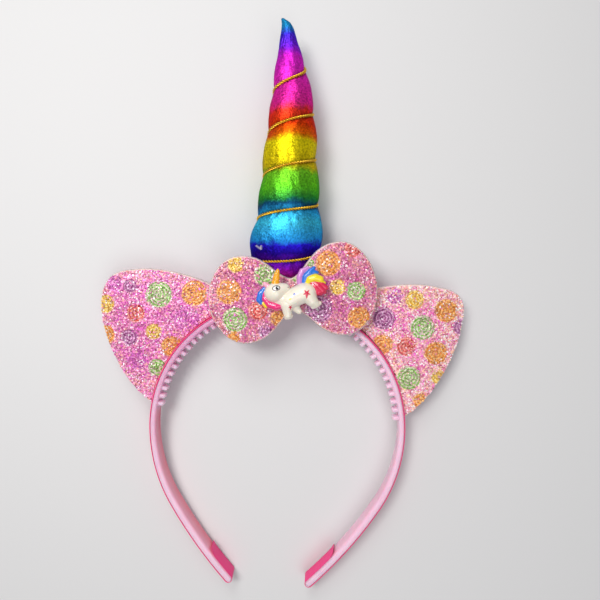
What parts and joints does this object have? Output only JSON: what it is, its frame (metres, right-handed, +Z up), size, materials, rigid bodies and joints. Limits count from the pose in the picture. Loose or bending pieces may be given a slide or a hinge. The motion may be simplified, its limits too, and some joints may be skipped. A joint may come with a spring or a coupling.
{
  "type": "unicorn headband",
  "caption": "Child's toothed plastic hairband with a stuffed rainbow foil horn wound with gold cord, padded glitter ears, a glitter bow and a small unicorn charm.",
  "frame": {"origin": "middle of the footprint on the table, at table height, with the headband lying on its back", "axes": "+X to the wearer's left, +Y along the table up the horn, +Z up, the way the front of the bow faces"},
  "size_m": [0.172, 0.2686, 0.0346],
  "materials": {
    "band_plastic": "pale pink moulded plastic, slightly translucent, soft gloss",
    "ribbon_satin": "hot pink satin ribbon",
    "glitter_fabric": "pink chunky glitter fabric printed with round swirls in green, orange, red, yellow and purple",
    "horn_foil": "metallic foil cloth in rainbow bands",
    "gold_cord": "twisted metallic gold thread",
    "charm_resin": "glossy cast resin, pearl white with painted details"
  },
  "bodies": {
    "root": {"band": "band_plastic", "ribbon": "ribbon_satin", "ear_left": "glitter_fabric", "ear_right": "glitter_fabric", "horn": "horn_foil", "horn_cord": "gold_cord", "bow": "glitter_fabric", "unicorn_charm": "charm_resin"}
  },
  "joints": []
}
